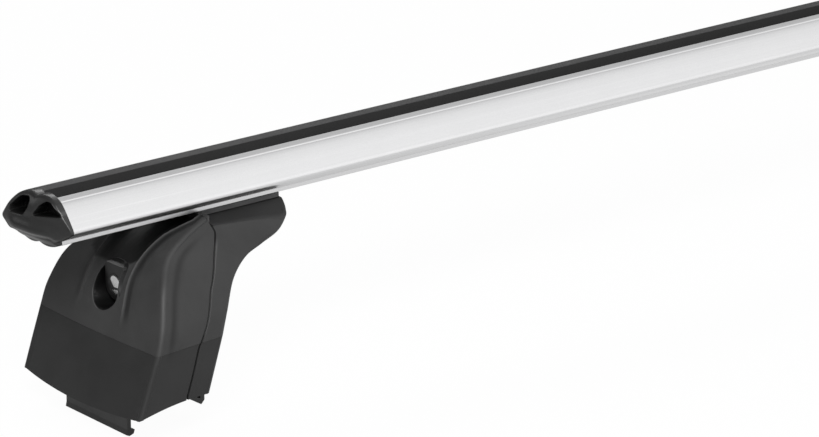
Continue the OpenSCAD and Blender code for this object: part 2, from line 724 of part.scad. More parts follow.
foot(1) lock_plug();  // right_lock_plug
foot(1) lock_cam();  // right_lock_cam
foot(1) cam_screw();  // right_cam_screw
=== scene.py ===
import math

import bmesh
import bpy
import numpy as np
from mathutils import Matrix, Vector
from mathutils.geometry import tessellate_polygon


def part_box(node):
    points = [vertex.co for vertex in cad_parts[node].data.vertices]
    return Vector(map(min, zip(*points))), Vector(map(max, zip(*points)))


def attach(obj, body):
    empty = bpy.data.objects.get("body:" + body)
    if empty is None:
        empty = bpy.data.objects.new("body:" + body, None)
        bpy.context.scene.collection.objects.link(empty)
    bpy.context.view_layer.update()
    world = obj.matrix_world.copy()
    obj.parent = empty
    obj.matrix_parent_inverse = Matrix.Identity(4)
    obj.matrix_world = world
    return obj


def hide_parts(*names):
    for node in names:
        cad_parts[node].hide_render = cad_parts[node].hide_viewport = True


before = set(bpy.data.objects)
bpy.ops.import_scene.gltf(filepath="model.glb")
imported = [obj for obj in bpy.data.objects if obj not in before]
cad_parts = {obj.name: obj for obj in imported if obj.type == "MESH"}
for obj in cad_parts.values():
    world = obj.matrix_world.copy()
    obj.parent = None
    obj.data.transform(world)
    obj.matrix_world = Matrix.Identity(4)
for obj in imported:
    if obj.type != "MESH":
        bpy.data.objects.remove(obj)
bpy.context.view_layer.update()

MM = 0.001
scene = bpy.context.scene
scene.view_settings.view_transform = "Standard"

# Sizes in millimetres, as the part's source has them. The shell's wall is the scene's own, a little thinner
BAR_L, BAR_H, BAR_HALF = 1200.0, 26.6, 26.5
STRIP_W, STRIP_T, LIP_W, WALL = 22.7, 2.6, 29.6, 1.8
TIP_Z = -0.56 * BAR_H
RIDE_H = 141.0
FOOT_INSET = 20.3
FOOT_W = 114.0
SHELL_TOP, SHELL_BASE = -27.0, -121.7
SHELL_H = SHELL_TOP - SHELL_BASE
SHELL_WALL = 2.2
SADDLE_LOW, SADDLE_HALF = -30.05, 14.8
SHOULDER_X, SHOULDER_TURN = 52.0, 0.0087
LOCK_Z = -63.0
POCKET_HALF, POCKET_TOP, POCKET_HOLE_R = 12.25, 12.0, 9.2
FLOOR_X = 30.7
BARREL_R, BORE_R, PLUG_R = 9.0, 6.2, 5.95
SHELL_SHARP, LOCK_SHARP, BEVEL_ANGLE = 32.0, 30.0, 40.0


# The camera, solved from the bar's edges in the photograph
cam_data = bpy.data.cameras.new("camera")
cam_data.sensor_width = 36
cam_data.lens = 176.5
cam_data.clip_end = 40
camera = bpy.data.objects.new("camera", cam_data)
scene.collection.objects.link(camera)
yaw, pitch = math.radians(39.477), math.radians(18.522)
look = Vector((math.sin(yaw) * math.cos(pitch), math.cos(yaw) * math.cos(pitch), -math.sin(pitch)))
right = Vector((math.cos(yaw), -math.sin(yaw), 0))
up = right.cross(look)
turn = Matrix((right, up, -look)).transposed().to_4x4()
camera.matrix_world = Matrix.Translation((-1.765605, -1.726480, 0.820973)) @ turn
scene.camera = camera


# Materials
class Nodes:
    """A short way to write a node tree."""

    def __init__(self, tree):
        self.tree = tree
        self.tree.nodes.clear()

    def add(self, kind, inputs=None, **settings):
        n = self.tree.nodes.new(kind)
        for k, v in settings.items():
            setattr(n, k, v)
        for k, v in (inputs or {}).items():
            if isinstance(v, bpy.types.NodeSocket):
                self.tree.links.new(v, n.inputs[k])
            else:
                n.inputs[k].default_value = v
        return n

    def math(self, op, a, b):
        return self.add("ShaderNodeMath", {0: a, 1: b}, operation=op).outputs[0]

    def dot(self, place, direction):
        n = self.add("ShaderNodeVectorMath", {0: place, 1: Vector(direction)}, operation="DOT_PRODUCT")
        return n.outputs["Value"]

    def ramp(self, value, low, high, to_low=0.0, to_high=1.0):
        n = self.add("ShaderNodeMapRange", {0: value, 1: low, 2: high, 3: to_low, 4: to_high})
        return n.outputs[0]

    def noise(self, place, scale, detail=3.0, rough=0.55):
        n = self.add("ShaderNodeTexNoise",
                     {"Vector": place, "Scale": scale, "Detail": detail, "Roughness": rough})
        return n.outputs["Fac"]

    def mix(self, factor, a, b):
        n = self.add("ShaderNodeMix", {"Factor": factor}, data_type="RGBA")
        for socket, v in ((n.inputs[6], a), (n.inputs[7], b)):
            if isinstance(v, bpy.types.NodeSocket):
                self.tree.links.new(v, socket)
            else:
                socket.default_value = (*v, 1.0)
        return n.outputs[2]


def new_material(name):
    m = bpy.data.materials.new(name)
    m.use_nodes = True
    return m, Nodes(m.node_tree)


def close_material(t, base, roughness, normal, metallic=0.0, specular=0.5):
    inputs = {"Base Color": base, "Roughness": roughness, "Normal": normal, "Metallic": metallic,
              "Specular IOR Level": specular}
    bsdf = t.add("ShaderNodeBsdfPrincipled", inputs)
    t.add("ShaderNodeOutputMaterial", {"Surface": bsdf.outputs[0]})


def object_place(t, scale=(1.0, 1.0, 1.0)):
    place = t.add("ShaderNodeTexCoord").outputs["Object"]
    return t.add("ShaderNodeMapping", {"Vector": place, "Scale": scale}).outputs[0]


def bump(t, height, distance):
    return t.add("ShaderNodeBump", {"Height": height, "Distance": distance, "Strength": 1.0}).outputs[0]


def plastic(name, dark, light, rough, grain, depth):
    """Moulded plastic with a fine eroded grain, faint flow marks and a few rubbed places."""
    m, t = new_material(name)
    place = object_place(t)
    cloud = t.noise(place, 38.0, 4.0)
    rubbed = t.ramp(t.noise(place, 140.0, 5.0, 0.7), 0.62, 0.78)
    fine = t.noise(place, grain, 2.0)
    tone = t.mix(t.ramp(cloud, 0.35, 0.65), dark, light)
    tone = t.mix(t.math("MULTIPLY", rubbed, 0.35), tone, [min(1.0, c * 1.7) for c in light])
    r = t.math("ADD", t.ramp(cloud, 0.3, 0.7, rough - 0.04, rough + 0.04), t.math("MULTIPLY", fine, 0.06))
    close_material(t, tone, r, bump(t, fine, depth))
    return m


def moulded(name, body, shaded_skirt_tone, rough, grain, specular):
    """Grained plastic, from the mesh's tones: painted highlights along edges, painted shade in hollows and a
    skirt painted darker as shade.
    """
    m, t = new_material(name)
    place = object_place(t)
    tones = t.add("ShaderNodeAttribute", attribute_name="tone").outputs["Color"]
    mask = t.add("ShaderNodeSeparateColor", {0: tones})
    # The tone attribute holds the painted highlight (red), the painted shade (green) and the skirt's share
    # (blue)
    edge, painted_shade, skirt = mask.outputs[0], mask.outputs[1], mask.outputs[2]
    cloud = t.noise(place, 38.0, 4.0)
    rubbed = t.ramp(t.noise(place, 140.0, 5.0, 0.7), 0.64, 0.80)
    fine = t.noise(place, grain, 2.0)
    tone = t.mix(t.ramp(cloud, 0.35, 0.65), [body * 0.88] * 3, [body * 1.12] * 3)
    low = t.mix(t.ramp(cloud, 0.35, 0.65), [shaded_skirt_tone * 0.88] * 3, [shaded_skirt_tone * 1.12] * 3)
    # Painted shade: the skirt takes a darker copy of the same tone
    tone = t.mix(skirt, tone, low)
    tone = t.mix(t.math("MULTIPLY", rubbed, 0.3), tone, [body * 1.6] * 3)
    # Painted shade: near black where the mesh is marked as shaded
    tone = t.mix(painted_shade, tone, (0.001, 0.001, 0.001))
    # Painted highlight: lighter along the edges the mesh marks
    tone = t.mix(t.math("MULTIPLY", edge, t.ramp(cloud, 0.2, 0.6, 0.65, 1.0)), tone, (0.150, 0.150, 0.150))
    r = t.math("ADD", t.ramp(cloud, 0.3, 0.7, rough - 0.04, rough + 0.04), t.math("MULTIPLY", fine, 0.06))
    close_material(t, tone, r, bump(t, fine, 0.00003), specular=specular)
    return m


def rubber(name, dark, light):
    """Matt rubber with a little dust."""
    m, t = new_material(name)
    place = object_place(t)
    fine = t.noise(place, 1800.0, 3.0)
    dust = t.noise(place, 60.0, 5.0, 0.65)
    tone = t.mix(t.ramp(dust, 0.4, 0.7), dark, light)
    r = t.ramp(fine, 0.2, 0.8, 0.69, 0.83)
    close_material(t, tone, r, bump(t, fine, 0.00004), specular=0.35)
    return m


def coated_steel(name, dark, light):
    """Sheet steel under a black electro-coat, a little orange-peeled."""
    m, t = new_material(name)
    place = object_place(t)
    peel = t.noise(place, 420.0, 2.0)
    cloud = t.noise(place, 55.0, 4.0)
    tone = t.mix(cloud, dark, light)
    r = t.ramp(cloud, 0.3, 0.7, 0.36, 0.50)
    close_material(t, tone, r, bump(t, peel, 0.00005))
    return m


def zinc(name, tint, rough=0.34):
    """Plated or bare metal with a mottled tone."""
    m, t = new_material(name)
    place = object_place(t)
    cloud = t.noise(place, 160.0, 4.0, 0.7)
    fine = t.noise(place, 1500.0, 2.0)
    tone = t.mix(t.ramp(cloud, 0.3, 0.7), [c * 0.8 for c in tint], tint)
    r = t.ramp(cloud, 0.3, 0.7, rough - 0.08, rough + 0.12)
    close_material(t, tone, r, bump(t, fine, 0.00002), metallic=1.0)
    return m


def aluminium():
    """Satin anodised extrusion: drawing lines along it, a bead-blasted sparkle and faint handling marks."""
    m, t = new_material("anodised_aluminium")
    lines = t.noise(object_place(t, (1.5, 900.0, 900.0)), 1.0, 4.0, 0.6)
    long_lines = t.noise(object_place(t, (0.6, 160.0, 160.0)), 1.0, 3.0, 0.5)
    grain = t.noise(object_place(t), 1900.0, 2.0, 0.6)
    cloud = t.noise(object_place(t), 45.0, 4.0, 0.6)
    scratch = t.ramp(t.noise(object_place(t, (6.0, 700.0, 700.0)), 1.0, 2.0, 0.5), 0.68, 0.74)
    tone = t.mix(t.ramp(lines, 0.3, 0.7), (0.62, 0.62, 0.625), (0.65, 0.65, 0.655))
    tone = t.mix(t.math("MULTIPLY", t.ramp(grain, 0.35, 0.75), 0.45), tone, (0.53, 0.53, 0.535))
    tone = t.mix(t.math("MULTIPLY", scratch, 0.2), tone, (0.80, 0.80, 0.80))
    r = t.math("ADD", t.ramp(cloud, 0.3, 0.7, 0.31, 0.35), t.math("MULTIPLY", long_lines, 0.02))
    height = t.math("ADD", t.math("MULTIPLY", lines, 0.25), grain)
    close_material(t, tone, r, bump(t, height, 0.000016), metallic=1.0)
    return m


def strip_rubber():
    """Matt rubber strip, near black over its near two thirds and greyer over its far third."""
    m, t = new_material("strip_rubber")
    place = object_place(t)
    y = t.add("ShaderNodeSeparateXYZ", {0: place}).outputs[1]
    far = t.ramp(y, 0.0034, 0.0040)
    fine = t.noise(object_place(t, (1.0, 6.0, 6.0)), 700.0, 3.0)
    dust = t.noise(place, 24.0, 5.0, 0.65)
    dark = t.mix(dust, (0.003, 0.003, 0.003), (0.007, 0.007, 0.007))
    light = t.mix(dust, (0.070, 0.070, 0.071), (0.120, 0.120, 0.121))
    tone = t.mix(far, dark, light)
    r = t.ramp(fine, 0.2, 0.8, 0.62, 0.8)
    close_material(t, tone, r, bump(t, fine, 0.00004), specular=0.15)
    return m


def saddle_rubber():
    """Grey rubber whose lowest edge, where it sits in the housing, is painted dark as shade."""
    m, t = new_material("saddle_rubber")
    place = object_place(t)
    z = t.add("ShaderNodeSeparateXYZ", {0: place}).outputs[2]
    fine = t.noise(place, 1800.0, 3.0)
    dust = t.noise(place, 60.0, 5.0, 0.65)
    foot = (RIDE_H + SADDLE_LOW) * MM
    grey = t.mix(t.ramp(dust, 0.4, 0.7), (0.100, 0.100, 0.101), (0.135, 0.135, 0.136))
    # Painted shade: black in the lowest part, where the saddle meets the housing
    tone = t.mix(t.ramp(z, foot + 0.0006, foot + 0.0009), (0.003, 0.003, 0.003), grey)
    r = t.ramp(fine, 0.2, 0.8, 0.56, 0.7)
    close_material(t, tone, r, bump(t, fine, 0.00004), specular=0.35)
    return m


MAT = {
    "bar": aluminium(),
    "strip": strip_rubber(),
    "cap": moulded("cap_plastic", 0.014, 0.009, 0.30, 1700.0, 0.5),
    # The second tone is the skirt's, darker as painted shade
    "shell": moulded("shell_plastic", 0.043, 0.024, 0.47, 2600.0, 0.3),
    "dark": plastic("lock_plastic", (0.004, 0.004, 0.004), (0.008, 0.008, 0.008), 0.4, 1500.0, 0.00002),
    "rubber": rubber("liner_rubber", (0.010, 0.010, 0.010), (0.02, 0.02, 0.02)),
    "saddle": saddle_rubber(),
    "jaw": coated_steel("coated_steel", (0.006, 0.006, 0.006), (0.012, 0.012, 0.012)),
    "steel": zinc("zinc_plate", (0.60, 0.61, 0.62)),
    "lock": zinc("nickel_plug", (0.86, 0.86, 0.86), 0.2),
    # Painted shade: the plug's body is dark metal, for the shaded keyway and the gap round its face
    "plug": zinc("plug_painted_shade", (0.10, 0.10, 0.10), 0.4),
}


# Mesh tools
def mesh_piece(name, verts, faces, material, mirror, sharp, tones):
    """A piece from millimetre points in the row frame, mirrored to the right end if asked."""
    v = np.asarray(verts, float) * MM
    if mirror:
        v = v * np.array([-1.0, 1.0, 1.0])
        faces = [tuple(reversed(f)) for f in faces]
    me = bpy.data.meshes.new(name)
    me.from_pydata(v.tolist(), [], [tuple(int(i) for i in f) for f in faces])
    layer = me.attributes.new("tone", "FLOAT_COLOR", "POINT")
    layer.data.foreach_set("color", np.column_stack([tones, np.ones(len(v))]).ravel())
    me.validate()
    me.materials.append(material)
    obj = bpy.data.objects.new(name, me)
    scene.collection.objects.link(obj)
    smooth(obj, sharp)
    return obj


def smooth(obj, sharp):
    me = obj.data
    me.polygons.foreach_set("use_smooth", [True] * len(me.polygons))
    me.set_sharp_from_angle(angle=math.radians(sharp))
    me.update()


def settle(obj, sharp):
    """Applies a piece's modifiers and shades the result again."""
    dg = bpy.context.evaluated_depsgraph_get()
    me = bpy.data.meshes.new_from_object(obj.evaluated_get(dg))
    me.name = obj.name
    obj.modifiers.clear()
    obj.data = me
    smooth(obj, sharp)


def soften(obj, width, segments):
    """Rounds a piece's sharp edges by a bevel in metres."""
    soft = obj.modifiers.new("edge", "BEVEL")
    soft.width, soft.segments = width, segments
    soft.limit_method, soft.angle_limit = "ANGLE", math.radians(BEVEL_ANGLE)


def thicken(obj):
    """Gives an open shell its wall on the inner side."""
    solid = obj.modifiers.new("wall", "SOLIDIFY")
    solid.thickness = SHELL_WALL * MM
    solid.offset = -1.0
    solid.use_rim = True
    settle(obj, SHELL_SHARP)


def outward(obj):
    bm = bmesh.new()
    bm.from_mesh(obj.data)
    bmesh.ops.recalc_face_normals(bm, faces=bm.faces)
    bm.to_mesh(obj.data)
    bm.free()


class Shape:
    """Collects points, faces and tones (painted highlight on edges, painted shade, skirt share) of one mesh.
    """

    def __init__(self):
        self.v, self.f, self.t = [], [], []

    def points(self, pts, tone=(0.0, 0.0, 0.0)):
        start = len(self.v)
        self.v.extend([tuple(float(c) for c in p) for p in pts])
        self.t.extend(np.broadcast_to(np.asarray(tone, float), (len(self.v) - start, 3)).tolist())
        return list(range(start, len(self.v)))

    def strip(self, a, b, closed=True):
        n = len(a)
        for i in range(n if closed else n - 1):
            j = (i + 1) % n
            self.f.append((a[i], a[j], b[j], b[i]))

    def grid(self, points, tones):
        """Points in rows and columns. Gives their numbers in the same order."""
        return np.array(self.points(points.reshape(-1, 3), tones.reshape(-1, 3))).reshape(points.shape[:2])

    def quad(self, ids, i, j):
        self.f.append((ids[i, j], ids[i, j + 1], ids[i + 1, j + 1], ids[i + 1, j]))

    def rings(self, rings, tones):
        """Closed rings joined in turn, with both ends filled."""
        ids = [self.points(r, tone) for r, tone in zip(rings, tones)]
        for a, b in zip(ids, ids[1:]):
            self.strip(a, b)
        self.f.append(tuple(reversed(ids[0])))
        self.f.append(tuple(ids[-1]))

    def piece(self, name, material, mirror=False, sharp=38.0, recalc=True):
        obj = mesh_piece(name, self.v, self.f, material, mirror, sharp, np.array(self.t))
        if recalc:
            outward(obj)
            smooth(obj, sharp)
        return obj


def bezier(p, n):
    """A cubic curve in n parts."""
    p = np.asarray(p, float)
    t = np.linspace(0, 1, n + 1)[:, None]
    return (1 - t) ** 3 * p[0] + 3 * (1 - t) ** 2 * t * p[1] + 3 * (1 - t) * t * t * p[2] + t ** 3 * p[3]


def mirrored(p):
    p = np.asarray(p, float)[::-1]
    return np.column_stack([-p[:, 0], p[:, 1]])


def rounded(points, radius):
    """A closed outline with its corners rounded."""
    p = np.asarray(points, float)
    out = []
    for i in range(len(p)):
        a, b, c = p[i - 1], p[i], p[(i + 1) % len(p)]
        la, lc = np.linalg.norm(a - b), np.linalg.norm(c - b)
        r = min(radius, 0.45 * la, 0.45 * lc)
        s, e = b + (a - b) / la * r, b + (c - b) / lc * r
        for t in np.linspace(0, 1, 5):
            out.append((1 - t) ** 2 * s + 2 * (1 - t) * t * b + t * t * e)
    return np.array(out)


def prism(shape, loops, x0, x1):
    """An outline with holes in Y and Z, drawn from x0 to x1."""
    flat = [[Vector((y, z, 0)) for y, z in loop] for loop in loops]
    tris = tessellate_polygon(flat)
    ends = []
    for x in (x0, x1):
        ends.append([shape.points([(x, y, z) for y, z in loop]) for loop in loops])
    for a, b in zip(*ends):
        shape.strip(a, b)
    for end in ends:
        ids = [i for loop in end for i in loop]
        shape.f.extend([tuple(ids[i] for i in t) for t in tris])


# The bar
upper_face = bezier([[15.2, -1.9], [18, -3.9], [BAR_HALF - 3.3, TIP_Z + 3.8],
                     [BAR_HALF - 0.6, TIP_Z + 0.2]], 30)
tip_round = bezier([[BAR_HALF - 0.3, TIP_Z - 0.4], [BAR_HALF + 0.7, TIP_Z - 2.2],
                    [BAR_HALF - 0.7, TIP_Z - 3.2], [BAR_HALF - 3.1, TIP_Z - 4.6]], 12)
lower_face = bezier([[BAR_HALF - 4, TIP_Z - 5.1], [20.4, -21.5], [18, -22.9], [LIP_W / 2, -BAR_H + 2.4]], 14)
bar_side = np.vstack([[[STRIP_W / 2, 0], [STRIP_W / 2 + 0.2, -0.15], [14.1, -1.3], [14.45, -1.62],
                       [14.75, -2.1]],
                      upper_face, tip_round, lower_face,
                      [[LIP_W / 2, -BAR_H + 0.3], [LIP_W / 2 - 0.3, -BAR_H]]])


def inset(p, d):
    """A curve moved towards the inside by d."""
    n = p[2:] - p[:-2]
    n = np.column_stack([n[:, 1], -n[:, 0]]) / np.linalg.norm(n, axis=1)[:, None]
    return p[1:-1] + d * n


def raised(loop):
    return [(y, h + RIDE_H) for y, h in loop]


def make_bar():
    """The extrusion: its outer line with both slots, and two chambers."""
    slot, slot_in, under = 6.0, 10.5, -BAR_H + 2.2
    top = -STRIP_T
    neck = top - WALL
    lower_slot = [[slot, -BAR_H], [slot, under], [slot_in, under], [slot_in, under + 6.8]]
    upper_slot = [[-STRIP_W / 2, top], [-slot, top], [-slot, neck], [-9, neck], [-9, neck - 5.4]]
    outer = np.vstack([bar_side, lower_slot, mirrored(lower_slot),
                       mirrored(bar_side), upper_slot, mirrored(upper_slot)])
    y_in = slot_in + WALL
    chamber = np.vstack([[[y_in, neck]], inset(upper_face, WALL), [[BAR_HALF - WALL - 1.4, TIP_Z - 1.6]],
                         inset(lower_face, WALL), [[y_in, under + WALL]]])
    s = Shape()
    prism(s, [raised(outer), raised(chamber), raised(mirrored(chamber))], -BAR_L / 2, BAR_L / 2)
    bar = s.piece("aero_bar", MAT["bar"], sharp=24.0)
    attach(bar, "bar")
    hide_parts("bar_profile")


def make_strip():
    """The strip with its fine ribs and the foot that holds it in the slot."""
    half = STRIP_W / 2 - 0.1
    top = [[half, -STRIP_T], [half, -0.35], [half - 0.35, 0.0]]
    for c in np.linspace(half - 1.6, 4.6, 5):
        top += [[c + 0.25, 0.0], [c + 0.1, -0.18], [c - 0.1, -0.18], [c - 0.25, 0.0]]
    top += [[3.9, 0.0], [3.7, -0.25], [-half + 0.35, -0.25], [-half, -0.45], [-half, -STRIP_T]]
    neck = -STRIP_T - WALL
    foot = [[-5.9, -STRIP_T], [-5.9, neck - 0.1], [-7, neck - 0.1], [-7, neck - 1.6], [-5.2, neck - 2.5]]
    outline = np.vstack([top, foot, mirrored(foot)])
    s = Shape()
    prism(s, [raised(outline)], -BAR_L / 2, BAR_L / 2)
    strip = s.piece("rubber_strip", MAT["strip"], sharp=30.0)
    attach(strip, "bar")
    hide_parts("top_strip")


# The end cap
CAP_REACH = 10.6


def cap_front(y, z):
    """The cap's main bulge, lower on the near side, at the top and at the bottom."""
    near = (np.hypot(y + 2, 3.0) - y - 2) / 2 / (BAR_HALF - 2)
    far = (np.hypot(y, 3.0) + y) / 2 / BAR_HALF
    high = np.maximum(0, z + 10) / 10
    low = np.clip((-z - 21.5) / 5, 0, 1)
    return CAP_REACH * (1 - 0.78 * near ** 1.1 + 0.2 * far) * (1 - 0.42 * high ** 2) * (1 - 0.45 * low)


def polygon_distance(y, z, poly):
    """Signed distance to a closed outline, negative inside."""
    p = np.asarray(poly, float)
    best = np.full(y.shape, 1e9)
    inside = np.zeros(y.shape, bool)
    for a, b in zip(p, np.roll(p, -1, axis=0)):
        e = b - a
        t = np.clip(((y - a[0]) * e[0] + (z - a[1]) * e[1]) / (e @ e), 0, 1)
        best = np.minimum(best, np.hypot(y - a[0] - t * e[0], z - a[1] - t * e[1]))
        cross_y = (b[0] - a[0]) * (z - a[1]) / (b[1] - a[1] + 1e-12) + a[0]
        inside ^= ((a[1] > z) != (b[1] > z)) & (y < cross_y)
    return np.where(inside, -best, best)


def step(x, low, high):
    """A smooth rise from 0 at low to 1 at high."""
    t = np.clip((x - low) / (high - low), 0, 1)
    return t * t * (3 - 2 * t)


NEAR_POCKET = rounded([[-2.0, -10.3], [-20.2, -8.3], [-18.8, -6.4], [-12.0, -1.9], [-9.0, -1.6],
                       [-5.2, -4.6]], 1.2)
FAR_POCKET = rounded([[6.0, -11.6], [18.0, -12.2], [17.8, -9.6], [11.0, -2.4], [4.8, -1.6], [2.8, -3.2],
                      [2.5, -6.8]], 1.2)
CAP_CENTRE = np.array([0.0, -13.0])


def cap_outline(n):
    """The bar's outer line without its slots, in n points at even angles."""
    side = np.vstack([[[STRIP_W / 2, 0.0], [14.1, -1.3]], upper_face, tip_round, lower_face,
                      [[LIP_W / 2, -BAR_H + 0.6], [LIP_W / 2 - 0.6, -BAR_H]]])
    loop = np.vstack([[[0.0, 0.0]], side, [[0.0, -BAR_H]], mirrored(side)])
    angle = np.unwrap(np.arctan2(loop[:, 1] - CAP_CENTRE[1], loop[:, 0] - CAP_CENTRE[0]))
    r = np.linalg.norm(loop - CAP_CENTRE, axis=1)
    order = np.argsort(-angle)
    wanted = angle[order][0] - np.linspace(0, 2 * math.pi, n, endpoint=False)
    grown = np.interp(-wanted, -angle[order], r[order], period=2 * math.pi)
    return np.column_stack([CAP_CENTRE[0] + grown * np.cos(wanted), CAP_CENTRE[1] + grown * np.sin(wanted)])


def cap_reach_at(y, z, r):
    """How far the end cap's front stands beyond the bar's end."""
    p = cap_front(y, z)
    edge = 0.66 + 0.34 * np.sqrt(np.clip(1 - np.clip((r - 0.86) / 0.14, 0, 1) ** 2, 0, 1))
    p = p * edge * (1 + 0.05 * (1 - r))
    belly = np.exp(-((z + 18.0) / 4.0) ** 2) * step(24 - np.abs(y), 0, 14)
    p = p + 2.8 * belly
    waist = np.exp(-((z + 21.6) / 1.3) ** 2) * step(18 - np.abs(y), 0, 6)
    p = p - 1.2 * waist
    for pocket in (NEAR_POCKET, FAR_POCKET):
        d = polygon_distance(y, z, pocket)
        p = p - 0.35 * np.exp(-(np.maximum(d, 0) / 0.5) ** 2)
        p = np.where(d < 0.25, 1.4 + (p - 1.4) * step(d, -0.35, 0.25), p)
    return np.maximum(p, 1.2)


def cap_tones(y, z):
    """Painted shade making the pocket floors black and a painted highlight on the near pocket's outer side.
    """
    near, far = polygon_distance(y, z, NEAR_POCKET), polygon_distance(y, z, FAR_POCKET)
    # Painted shade inside both pockets
    painted_shade = step(-np.minimum(near, far), -0.35, 0.15)
    # Painted highlight along the near pocket's outer rim
    edge = 0.8 * np.exp(-((near - 0.35) / 0.3) ** 2) * step(-y, 12.5, 14.5) * step(z, -8.6, -7.4)
    return np.column_stack([edge, painted_shade, np.zeros(len(y))])


def make_cap(name, mirror):
    """The cap's sculpted front and its two plugs in the bar's chambers."""
    n = 420
    outline = cap_outline(n)
    radii = np.concatenate([np.linspace(1.0, 0.9, 22), np.linspace(0.9, 0.02, 104)[1:]])
    s = Shape()
    rings = [np.column_stack([np.zeros(n), outline])]
    for r in radii:
        q = CAP_CENTRE + (outline - CAP_CENTRE) * r
        rings.append(np.column_stack([-cap_reach_at(q[:, 0], q[:, 1], r), q]))
    tones = [cap_tones(ring[:, 1], ring[:, 2]) for ring in rings]
    rings = [ring + np.array([-BAR_L / 2, 0, RIDE_H]) for ring in rings]
    s.rings(rings, tones)
    y_in, gap = 12.3, 0.25
    plug = np.vstack([[[y_in + gap, -4.6]], inset(upper_face[::4], WALL + gap),
                      [[BAR_HALF - 3.5, TIP_Z - 1.6]],
                      inset(lower_face[::4], WALL + gap), [[y_in + gap, -22.3]]])
    for loop in (plug, mirrored(plug)):
        prism(s, [raised(loop)], -BAR_L / 2 - 0.5, -BAR_L / 2 + 16)
    cap = s.piece(name, MAT["cap"], mirror, sharp=46.0)
    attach(cap, "bar")
    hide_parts(("right" if mirror else "left") + "_end_cap")


# The foot's shell, from the same stations as the part
SKIRT = np.array([
    [-1.3, 0, 0.99, 49.3, 0.05, 0.965],
    [5, 0.187, 0.995, 53.6, 0.208, 0.975],
    [11.4, 0.371, 1, 59, 0.387, 0.975],
])
BODY = np.array([
    [11.4, 0.371, 1, 59, 0.387, 0.975],
    [15.7, 0.518, 0.968, 63.9, 0.519, 0.94],
    [22.9, 0.714, 0.827, 73.5, 0.672, 0.821],
    [34.2, 0.846, 0.627, 86, 0.764, 0.727],
    [49.7, 0.936, 0.526, 100.8, 0.799, 0.648],
    [70.7, 1, 0.42, 117.4, 0.83, 0.544],
    [76.7, 1, 0.396, 126.7, 0.915, 0.475],
    [79.7, 1, 0.381, 127.6, 1, 0.45],
])
SEAM = np.array([
    [70.7, SHELL_TOP + 3], [70.7, SHELL_TOP], [72.4, SHELL_TOP - 7.6], [54.5, SHELL_TOP - 33],
    [46.7, SHELL_TOP - 50], [40.7, SHELL_TOP - 61], [32.7, SHELL_BASE + 5.7], [31, SHELL_BASE - 12]])
R_FRONT, R_BACK = 3.0, 4.0
SKIRT_STEP = 0.35


def spline(rows, t):
    """A smooth curve through rows, whole numbers of t standing at the rows."""
    n = len(rows) - 1
    t = np.clip(t, 0, n)
    i = np.clip(np.floor(t).astype(int), 0, n - 1)
    f = (t - i)[..., None]
    a, b = rows[np.maximum(i - 1, 0)], rows[i]
    c, d = rows[i + 1], rows[np.minimum(i + 2, n)]
    return 0.5 * (2 * b + (c - a) * f + (2 * a - 5 * b + 4 * c - d) * f ** 2
                  + (3 * b - a - 3 * c + d) * f ** 3)


def station(t):
    t = np.asarray(t, float)
    return np.where((t < 2)[..., None], spline(SKIRT, t), spline(BODY, t - 2))


def edges(t):
    """Of each ring: its station, its front edge, and the length and way of its line to the back edge."""
    s = station(t)
    a = np.stack([s[..., 0], SHELL_BASE + s[..., 1] * SHELL_H], -1)
    b = np.stack([s[..., 3], SHELL_BASE + s[..., 4] * SHELL_H], -1)
    l = np.linalg.norm(b - a, axis=-1)
    return s, a, l, (b - a) / l[..., None]


def skirt_share(t):
    """1 on the skirt, 0 on the body above it."""
    return 1 - step(t, 1.985, 2.0)


def skirt_step(t):
    """The skirt stands a little behind the body above it."""
    return SKIRT_STEP * skirt_share(t)


def channel_half(z):
    """Half the width of the scooped channel, z being measured from the strip's top."""
    return 17 + 4.5 * (np.maximum(0, -z - 40) / 40) ** 1.5 + np.maximum(0, z + 34) * 0.5


def front_depth(t, y):
    """How far the front lies behind its edge line: the bow, the scooped channel and its bead."""
    s, a, _, _ = edges(t)
    y0 = s[..., 2] * FOOT_W / 2 - R_FRONT
    y = np.abs(y)
    bow0 = np.where(t < 2, 3.6 + (1.7 - 3.6) * t / 2, 1.7)
    z, h = a[..., 1], s[..., 1]
    cy = np.minimum(channel_half(z), y0 - 3)
    cd = np.where(h < 0.42, 0, 9 * np.minimum(1, np.maximum(h - 0.42, 0) / 0.5) ** 1.6)
    u = np.clip(y / cy, 0, 1)
    dip = np.interp(u, [0, 0.45, 0.7, 0.82, 0.93, 1], [1, 0.96, 0.79, 0.6, 0.28, 0])
    rise = np.clip((h - 0.44) / 0.14, 0, 1) * step(y0 - y, 0.0, 4.0)
    bead = rise * (0.5 * np.exp(-((y - cy) / 1.1) ** 2) - 0.55 * np.exp(-((y - cy - 3.4) / 2.0) ** 2))
    return cd * dip - bead - bow0 * (1 - np.clip(y / y0, 0, 1) ** 2) + skirt_step(t)


def to_space(t, p, y):
    """Ring points in the row frame, in millimetres, for the left foot. y is negative on the near side."""
    s, a, l, way = edges(t)
    w0 = s[..., 2] * FOOT_W / 2
    low = np.maximum(0, 1 - t)
    bow = 2.2 * (1 - np.minimum(1, np.abs(y) / w0) ** 2) * (1 - np.clip(p / l, 0, 1))
    dip = low * (bow - 1.6 * np.maximum(0, np.sin(np.pi * np.clip(p / l, 0, 1))))
    x = a[..., 0] + way[..., 0] * p
    z = a[..., 1] + way[..., 1] * p - dip
    return np.stack([x - BAR_L / 2 + FOOT_INSET, y, z + RIDE_H], -1)


def side_width(t, p):
    """Half the foot's width, with the side's groove and raised panel."""
    s, a, l, way = edges(t)
    w0, w1 = s[..., 2] * FOOT_W / 2, s[..., 5] * FOOT_W / 2
    w = w0 + (w1 - w0) * np.clip(p / l, 0, 1)
    z = a[..., 1] + way[..., 1] * p
    lift = step(z, -90.0, -80.0) * step(-34.0 - z, 0.0, 12.0)
    groove = np.exp(-((p - 9.5) / 2.6) ** 2)
    panel = step(p, 12.5, 15.0)
    return w - lift * (0.9 * groove - 0.15 * panel) - skirt_step(t)


